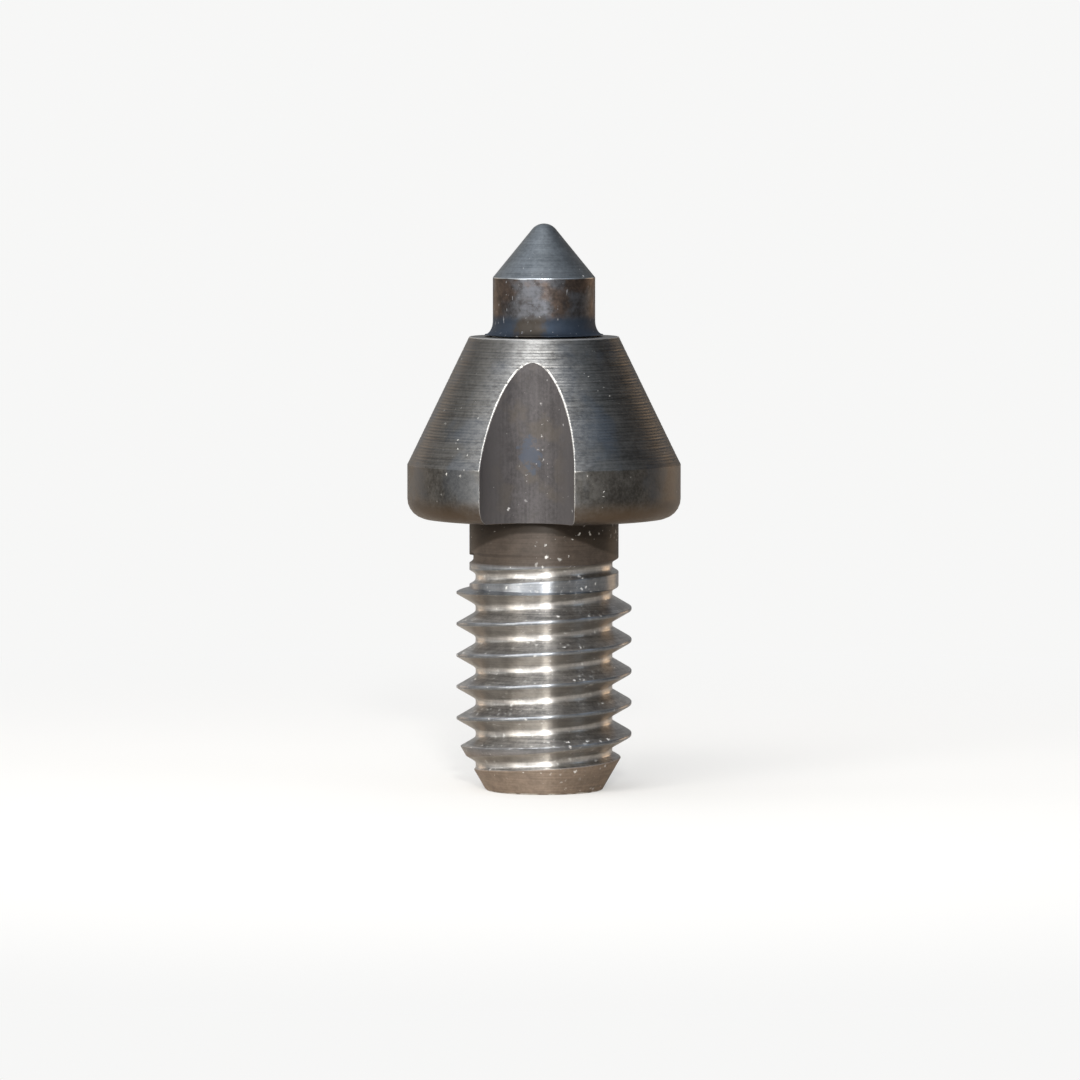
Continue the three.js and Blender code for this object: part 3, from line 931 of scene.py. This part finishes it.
def shankOutline():
    slope = shank["slope"]
    recessBottom = shank["spigotTop"] - shank["clipRecessDepth"]
    outline = roundCorners([
        (0, shank["bottom"] + shank["drillRadius"] * slope, 0, 0),
        (shank["drillRadius"], shank["bottom"], 0.04, 0.6),
        (shank["endRadius"], shank["bottom"], 0.1, 0.7),
        (shank["majorRadius"], shank["bottom"] + (shank["majorRadius"] - shank["endRadius"]) * slope, 0, 0),
        (shank["majorRadius"], shank["threadTop"], 0, 0),
        (shank["neckRadius"], shank["neckStart"], 0, 0),
        (shank["neckRadius"], shank["shoulder"], 0.04, 0),
        (shank["spigotRadius"], shank["shoulder"], 0, 0),
        (shank["spigotRadius"], shank["spigotTop"], 0.06, 0),
        (shank["clipRecessRadius"], shank["spigotTop"], 0.04, 0),
        (shank["clipRecessRadius"], recessBottom, 0, 0),
        (shank["boreRadius"], recessBottom, 0.04, 0),
        (shank["boreRadius"], shank["boreBottom"], 0, 0),
        (0, shank["boreBottom"], 0, 0),
    ])

    def stepAt(radius, height):
        outside = radius > shank["endRadius"] + 0.05 and height < shank["cutTo"]
        return shank["threadStep"] if outside else shank["plainStep"]

    return divide(outline, stepAt, closed=False)


def threadCutter():
    # Cuts a helical V groove into any round blank about Z, by pulling its outside in to the groove's wall.
    tree, given, out = newShaper("cutThread", {name: 0.0 for name in thread})
    feedTurns, slowTurns = given["Feed Turns"], given["Slow Turns"]
    where = addNode(tree, "GeometryNodeInputPosition")[0]
    x, y, z = split(where)
    radius = calc("SQRT", x * x + y * y)
    around = calc("ARCTAN2", y, x) / fullTurn
    climb = (z - given["Root Height At X"]) / given["Pitch"]
    # above the thread the tool's travel slows down to a stop: the turns that it takes to a given height
    past = addNode(tree, "ShaderNodeClamp", {"Value": (climb - feedTurns) / (slowTurns * 0.5)})[0]
    slowed = 1.0 - calc("SQRT", 1.0 - past)
    taken = slowed * slowTurns + feedTurns + calc("MINIMUM", climb - feedTurns, 0.0)
    lastTurn = feedTurns + slowTurns
    travelled = calc("MINIMUM", calc("ROUND", taken - around) + around, lastTurn)
    over = calc("MAXIMUM", travelled - feedTurns, 0.0)
    lost = over * over / (slowTurns * 2.0)
    aside = (climb - (travelled - lost)) * given["Pitch"]
    # the tool backs out over its last turns
    backed = calc("MAXIMUM", 1.0 - (lastTurn - travelled) / given["Runout Turns"], 0.0)
    floor = backed * given["Runout Lift"] + given["Root Radius"]
    rise = (calc("ABSOLUTE", aside) - given["Root Half Width"]) / given["Flank Slope"]
    wall = floor + calc("SMOOTH_MAX", rise, 0.0, given["Root Rounding"])
    wall = (noise(where, 900.0, 3.0) - 0.5) * given["Unevenness"] + wall
    cut = calc("SMOOTH_MIN", radius, wall, given["Crest Rounding"])
    share = cut / radius
    moved = addNode(tree, "ShaderNodeCombineXYZ", {"X": x * share, "Y": y * share, "Z": z})[0]
    threaded = addNode(tree, "GeometryNodeInputNamedAttribute", {"Name": "threaded"}, data_type="FLOAT")[0]
    threaded = calc("GREATER_THAN", threaded, 0.5)
    # what the finish needs to know: how deep a place is cut, and whether it faces up (1) or down (-1)
    depth = addNode(tree, "ShaderNodeClamp", {"Value": (radius - cut) / (0.1 * mm)})[0]
    facing = aside / (given["Pitch"] * -0.2)
    facing = addNode(tree, "ShaderNodeClamp", {"Value": facing, "Min": -1.0, "Max": 1.0})[0]
    shape = given["Geometry"]
    for name, value in (("cut", depth), ("facing", facing * depth)):
        inputs = {"Geometry": shape, "Name": name, "Value": value * threaded}
        shape = addNode(
            tree, "GeometryNodeStoreNamedAttribute", inputs, data_type="FLOAT", domain="POINT"
        )[0]
    inputs = {"Geometry": shape, "Selection": threaded, "Position": moved}
    return endShaper(tree, given, out, addNode(tree, "GeometryNodeSetPosition", inputs)[0])


def makeShank():
    points, faces, wear = revolve(shankOutline(), shank["segments"], closed=False)
    piece = makePiece("threadedShank", points, faces, wear)
    places = np.array(points)
    reach = np.hypot(places[:, 0], places[:, 1])
    threaded = (reach > shank["endRadius"] - 0.2) & (places[:, 2] < shank["cutTo"])
    threaded &= places[:, 2] > shank["bottom"] + 0.02
    storeNumbers(piece.data, "threaded", threaded)
    runShaper(piece, threadCutter(), {**thread, "Material": finishes["thread"]})
    closePiece(piece)
    sharpen(piece, 55)
    finishPiece(piece, "shank", "shank_steel", ["threaded_shank"], "thread")


makeShank()
print("threaded shank ready")


bearing = {
    "bore": 1.5, "innerLand": 1.95, "outerLand": 2.55, "raceRadius": 0.52, "edgeRound": 0.09,
    "landRound": 0.03, "ringWear": 0.6, "ballRadius": 0.5, "pitchRadius": 2.25, "balls": 8,
    "cageInner": 2.07, "cageOuter": 2.43, "cageRound": 0.05, "pocketRadius": 0.56, "segments": 96,
}


def raceArc(middle, fromAngle, toAngle):
    race = bearing["raceRadius"]
    return [
        (bearing["pitchRadius"] + race * cos(angle), middle + race * sin(angle), 0, 0)
        for angle in np.linspace(fromAngle, toAngle, 13)
    ]


def bearingRing(name, node, body, inner):
    low, high = boxOf(node)
    middle = (low.z + high.z) / 2
    land, wall = (bearing["innerLand"], bearing["bore"]) if inner else (bearing["outerLand"], high.x)
    reach = acos(abs(bearing["pitchRadius"] - land) / bearing["raceRadius"])
    wallLow, wallHigh = ((wall, z, bearing["edgeRound"], bearing["ringWear"]) for z in (low.z, high.z))
    landLow, landHigh = ((land, z, bearing["landRound"], bearing["ringWear"]) for z in (low.z, high.z))
    if inner:
        corners = [wallLow, landLow, *raceArc(middle, pi + reach, pi - reach), landHigh, wallHigh]
    else:
        corners = [landLow, wallLow, wallHigh, landHigh, *raceArc(middle, reach, -reach)]
    ring = turnPiece(name, roundCorners(corners, guard=0.03), bearing["segments"])
    finishPiece(ring, body, "bearing_steel", [node], "bearing")


def roundCircle(tree, given, shape, turned=None):
    # Copies of a shape on the circle that the balls stand on.
    inputs = {"Vertices": given["Ball Count"], "Radius": given["Pitch Radius"]}
    circle = addNode(tree, "GeometryNodeMeshCircle", inputs)[0]
    inputs = {"Points": circle, "Instance": shape, "Rotation": turned}
    placed = addNode(tree, "GeometryNodeInstanceOnPoints", inputs)[0]
    raised = addNode(tree, "ShaderNodeCombineXYZ", {"Z": given["Height"]})[0]
    return addNode(tree, "GeometryNodeTransform", {"Geometry": placed, "Translation": raised})[0]


def ballRing():
    # Balls spaced evenly on a circle about Z.
    tree, given, out = newShaper(
        "ballRing", {"Ball Count": 8, "Ball Radius": 0.0, "Pitch Radius": 0.0, "Height": 0.0}
    )
    inputs = {"Segments": 40, "Rings": 24, "Radius": given["Ball Radius"]}
    ball = addNode(tree, "GeometryNodeMeshUVSphere", inputs)[0]
    ball = addNode(tree, "GeometryNodeSetShadeSmooth", {"Geometry": ball})[0]
    return endShaper(tree, given, out, roundCircle(tree, given, ball))


def pocketDrill():
    # Drills one round pocket for each ball through a ring about Z.
    tree, given, out = newShaper("pocketDrill", {
        "Ball Count": 8, "Pocket Radius": 0.0, "Pitch Radius": 0.0, "Drill Length": 0.0, "Height": 0.0,
    })
    inputs = {"Vertices": 48, "Radius": given["Pocket Radius"], "Depth": given["Drill Length"]}
    drill = addNode(tree, "GeometryNodeMeshCylinder", inputs)[0]
    where = addNode(tree, "GeometryNodeInputPosition")[0]
    outwards = addNode(tree, "FunctionNodeAlignRotationToVector", {"Vector": where}, axis="Z")[0]
    drills = roundCircle(tree, given, drill, outwards)
    drills = addNode(tree, "GeometryNodeRealizeInstances", {"Geometry": drills})[0]
    inputs = {"Mesh 1": given["Geometry"], "Mesh 2": drills}
    drilled = addNode(
        tree, "GeometryNodeMeshBoolean", inputs, operation="DIFFERENCE", solver="EXACT"
    )[0]
    return endShaper(tree, given, out, drilled)


ballTree, drillTree = ballRing(), pocketDrill()

for title in ("front", "rear"):
    nodeName, cageBody = title + "_bearing", title + "_cage"
    cageLow, cageHigh = boxOf(nodeName + "_cage")
    shared = {
        "Ball Count": bearing["balls"], "Pitch Radius": bearing["pitchRadius"] * mm,
        "Height": (cageLow.z + cageHigh.z) / 2 * mm,
    }
    bearingRing(title + "OuterRing", nodeName + "_outer_ring", "shank", inner=False)
    bearingRing(title + "InnerRing", nodeName + "_inner_ring", "point", inner=True)
    blank = ringCorners(
        bearing["cageInner"], bearing["cageOuter"], cageLow.z, cageHigh.z, bearing["cageRound"]
    )
    cage = turnPiece(title + "Cage", roundCorners(blank, guard=0.02), bearing["segments"])
    runShaper(cage, drillTree, {
        **shared, "Pocket Radius": bearing["pocketRadius"] * mm,
        "Drill Length": 2 * (bearing["cageOuter"] - bearing["cageInner"]) * mm, "Material": finishes["brass"],
    })
    sharpen(cage, 35)
    finishPiece(cage, cageBody, "cage_brass", [nodeName + "_cage"], "brass")
    balls = makePiece(title + "Balls", [(0, 0, 0)], [])
    runShaper(balls, ballTree, {
        **shared, "Ball Radius": bearing["ballRadius"] * mm, "Material": finishes["bearing"],
    })
    ballNodes = [f"{nodeName}_ball_{i + 1}" for i in range(bearing["balls"])]
    finishPiece(balls, cageBody, "bearing_steel", ballNodes, "bearing")
print("bearings ready")


inside = {
    "edgeRound": 0.03, "segments": 96, "sectionStep": 0.4,
    "waveInner": 2.6, "waveOuter": 2.95, "waveThickness": 0.12, "waveHeight": 0.1, "waves": 3,
    "clipInner": 1.23, "clipWidest": 0.85, "clipNarrowest": 0.55, "clipOpening": radians(44),
    "clipEnd": 0.1375, "clipSteps": 90, "dishDepth": 0.25, "seatRound": 0.08,
}


def plainRing(name, node, body, slot, finish, innerRadius, rounding=inside["edgeRound"], wear=0.5):
    low, high = boxOf(node)
    outline = roundCorners(ringCorners(innerRadius, high.x, low.z, high.z, rounding, wear), guard=0.02)
    outline = divide(outline, lambda radius, height: inside["sectionStep"])
    finishPiece(turnPiece(name, outline, inside["segments"]), body, slot, [node], finish)


plainRing("outerSpacer", "outer_spacer", "shank", "spring_steel", "spring", 2.55)
plainRing("innerSpacer", "inner_spacer", "point", "spring_steel", "spring", 1.5)
plainRing("rearBush", "rear_bush", "shank", "bronze", "bronze", 1.28, 0.08)
plainRing("noseSeal", "nose_seal", "shank", "felt", "felt", 1.87, 0.1, 0)


def waveMaker():
    # Bends a flat ring about Z into even waves.
    tree, given, out = newShaper("waveRing", {"Waves": 3, "Wave Height": 0.0})
    x, y, _ = split(addNode(tree, "GeometryNodeInputPosition")[0])
    lift = calc("SINE", calc("ARCTAN2", y, x) * given["Waves"]) * given["Wave Height"]
    inputs = {"Geometry": given["Geometry"], "Offset": addNode(tree, "ShaderNodeCombineXYZ", {"Z": lift})[0]}
    return endShaper(tree, given, out, addNode(tree, "GeometryNodeSetPosition", inputs)[0])


def makeWave():
    low, high = boxOf("wave_washer")
    middle, half = (low.z + high.z) / 2, inside["waveThickness"] / 2
    corners = ringCorners(
        inside["waveInner"], inside["waveOuter"], middle - half, middle + half, inside["edgeRound"]
    )
    washer = turnPiece("waveWasher", roundCorners(corners, guard=0.01), 144)
    runShaper(washer, waveMaker(), {
        "Waves": inside["waves"], "Wave Height": inside["waveHeight"] * mm, "Material": finishes["spring"],
    })
    finishPiece(washer, "shank", "spring_steel", ["wave_washer"], "spring")


def makeClip():
    # An open snap ring, widest opposite its opening, with rounded ends.
    steps, rim = inside["clipSteps"], inside["edgeRound"]
    low, high, count = clipLow.z, clipHigh.z, 8
    points, faces = [], []
    start = inside["clipOpening"] / 2
    length = fullTurn - 2 * start
    for step in range(steps + 1):
        share = step / steps
        angle = start + length * share
        swell = (inside["clipWidest"] - inside["clipNarrowest"]) * sin(pi * share)
        end = min(1.0, min(share, 1 - share) * length / inside["clipEnd"])
        width = (inside["clipNarrowest"] + swell) * sqrt(max(0.12, 1 - (1 - end) ** 2))
        a, b = inside["clipInner"], inside["clipInner"] + width
        section = [
            (a, low + rim), (a + rim, low), (b - rim, low), (b, low + rim),
            (b, high - rim), (b - rim, high), (a + rim, high), (a, high - rim),
        ]
        points += [polar(radius, angle, height) for radius, height in section]
        if step:
            faces += bridge((step - 1) * count, step * count, count)
    faces += [tuple(range(count - 1, -1, -1)), tuple(steps * count + k for k in range(count))]
    clip = closePiece(makePiece("retainingRing", points, faces))
    finishPiece(clip, "point", "spring_steel", ["retaining_ring"], "spring")


def makeSeat():
    low, high = boxOf("thrust_seat")
    ballLow, ballHigh = boxOf("thrust_ball")
    ballHeight, ballRadius = (ballLow.z + ballHigh.z) / 2, (ballHigh.z - ballLow.z) / 2
    dish = ballHeight - (high.z - inside["dishDepth"])
    rimAngle = acos((ballHeight - high.z) / dish)
    bowl = [
        (dish * sin(angle), ballHeight - dish * cos(angle), 0, 0)
        for angle in np.linspace(rimAngle, 0, 16)[:-1]
    ]
    rounding = inside["seatRound"]
    corners = [
        (0, low.z, 0, 0), (high.x, low.z, rounding, 0.5), (high.x, high.z, rounding, 0.5), *bowl,
        (0, ballHeight - dish, 0, 0),
    ]
    seat = turnPiece("thrustSeat", roundCorners(corners, guard=0.03), inside["segments"], closed=False)
    finishPiece(seat, "shank", "bearing_steel", ["thrust_seat"], "bearing")
    arc = [
        (ballRadius * cos(angle), ballHeight + ballRadius * sin(angle), 0)
        for angle in np.linspace(-pi / 2, pi / 2, 41)
    ]
    ball = turnPiece("thrustBall", arc, 64, closed=False)
    finishPiece(ball, "thrust_ball", "bearing_steel", ["thrust_ball"], "bearing")


makeWave()
makeClip()
makeSeat()
print("inner parts ready")


studio = {
    "floorSize": 6.0, "floorColour": (0.5, 0.49, 0.47), "floorGlow": (0.4, 0.4, 0.395),
    "paleColour": (0.93, 0.93, 0.925), "boardColour": (0.5, 0.455, 0.4),
    "fadeFrom": 0.012, "fadeTo": 0.075,
    "skyTop": (0.8, 0.84, 0.92), "skyMiddle": (0.42, 0.42, 0.42), "horizon": (0.36, 0.35, 0.335),
    "ground": (0.4, 0.36, 0.31), "strengthLeft": 1.2, "strengthRight": 0.4,
}

view = {
    "azimuth": 7.6, "distance": 310, "eye": 32, "aimHeight": 11.22, "aimLeft": 0.18,
    "lens": 231, "sensor": 36,
}

# Name, azimuth counted from the camera and positive to its right, elevation, distance, width and
# height, radiance (how bright the panel looks) and colour.
lamps = (
    ("softboxFront", -19, 30, 340, (220, 330), 4.0, (1.0, 0.99, 0.975)),
    ("flashFront", 3, 17, 330, (26, 26), 330.0, (1.0, 0.98, 0.95)),
    ("lowLeft", -58, 3, 330, (60, 60), 5.0, (1.0, 0.93, 0.84)),
    ("windowLeft", -44, 10, 330, (100, 60), 15.0, (1.0, 0.965, 0.91)),
    ("fillLeft", -90, 22, 360, (200, 220), 1.1, (1.0, 0.96, 0.9)),
    ("skyRight", 62, 34, 380, (110, 190), 1.3, (0.7, 0.84, 1.0)),
    ("warmRight", 130, 5, 330, (150, 120), 1.9, (1.0, 0.68, 0.42)),
    ("warmLeft", -135, 5, 330, (150, 120), 1.2, (1.0, 0.72, 0.48)),
)


def forCamera(mirrored, seen):
    # One shader for what the camera sees, the other for what the metal mirrors.
    direct = addNode(seen.tree, "ShaderNodeLightPath")["Is Camera Ray"]
    return addNode(seen.tree, "ShaderNodeMixShader", {0: direct, 1: mirrored, 2: seen})[0]


def makeFloor():
    half = studio["floorSize"] / 2
    corners = [(-half, -half, 0), (half, -half, 0), (half, half, 0), (-half, half, 0)]
    mesh = bpy.data.meshes.new("floor")
    mesh.from_pydata(corners, [], [(0, 1, 2, 3)])
    floor = addObject("floor", mesh)
    material = bpy.data.materials.new("paleFloor")
    material.use_nodes = True
    tree = material.node_tree
    shader = tree.nodes["Principled BSDF"]
    away = vectorCalc("LENGTH", addNode(tree, "ShaderNodeTexCoord")["Object"])["Value"]
    far = between(away, studio["fadeFrom"], studio["fadeTo"])
    feed(shader, {
        "Base Color": blendColours(far, studio["floorColour"], (0, 0, 0)),
        "Roughness": 1.0, "Specular IOR Level": 0.0, "Emission Strength": 1.0,
        "Emission Color": blendColours(far, studio["floorGlow"], studio["paleColour"]),
    })
    # the metal mirrors a warm board, not the pale floor
    board = addNode(tree, "ShaderNodeBsdfDiffuse", {"Color": studio["boardColour"]})[0]
    feed(tree.nodes["Material Output"], {"Surface": forCamera(board, Wire(shader.outputs[0]))})
    mesh.materials.append(material)


def makeSky():
    # The backdrop looks pale. What the metal mirrors is a room: warm below, grey above, darker to the right.
    world = bpy.data.worlds.new("room")
    bpy.context.scene.world = world
    world.use_nodes = True
    tree = world.node_tree
    tree.nodes.clear()
    turn = radians(view["azimuth"])
    facing = addNode(tree, "ShaderNodeTexCoord")["Generated"]
    height = split(facing)["Z"]
    right = vectorCalc("DOT_PRODUCT", facing, (cos(turn), sin(turn), 0))["Value"]
    colour = blendColours(between(height, -0.25, 0.0), studio["ground"], studio["horizon"])
    colour = blendColours(between(height, 0.0, 0.35), colour, studio["skyMiddle"])
    colour = blendColours(between(height, 0.35, 0.95), colour, studio["skyTop"])
    strength = blendNumbers(between(right, -0.5, 0.8), studio["strengthLeft"], studio["strengthRight"])
    room = addNode(tree, "ShaderNodeBackground", {"Color": colour, "Strength": strength})[0]
    pale = addNode(tree, "ShaderNodeBackground", {"Color": studio["paleColour"]})[0]
    addNode(tree, "ShaderNodeOutputWorld", {"Surface": forCamera(room, pale)})


def placeHolder(name, data, location, aim):
    holder = addObject(name, data)
    holder.location = location
    holder.rotation_euler = (aim - location).to_track_quat("-Z", "Y").to_euler()
    return holder


def makeLamps():
    aim = Vector((0, 0, view["aimHeight"] + 2)) * mm
    for name, azimuth, elevation, distance, sides, radiance, colour in lamps:
        light = bpy.data.lights.new(name, "AREA")
        light.shape = "RECTANGLE"
        light.size, light.size_y = (side * mm for side in sides)
        light.energy = radiance * pi * light.size * light.size_y
        light.color = colour
        turn, rise = radians(view["azimuth"] + azimuth), radians(elevation)
        away = Vector((sin(turn) * cos(rise), -cos(turn) * cos(rise), sin(rise)))
        placeHolder(name, light, aim + away * distance * mm, aim).visible_camera = False


def makeCamera():
    camera = bpy.data.cameras.new("camera")
    camera.lens, camera.sensor_width = view["lens"], view["sensor"]
    camera.clip_start, camera.clip_end = 0.01, 20
    turn = radians(view["azimuth"])
    right = Vector((cos(turn), sin(turn), 0))
    front = Vector((sin(turn), -cos(turn), 0))
    eye = (front * view["distance"] + Vector((0, 0, view["eye"]))) * mm
    aim = (Vector((0, 0, view["aimHeight"])) - right * view["aimLeft"]) * mm
    bpy.context.scene.camera = placeHolder("camera", camera, eye, aim)


makeFloor()
makeSky()
makeLamps()
makeCamera()
bpy.context.scene.view_settings.view_transform = "Standard"
print("studio ready")
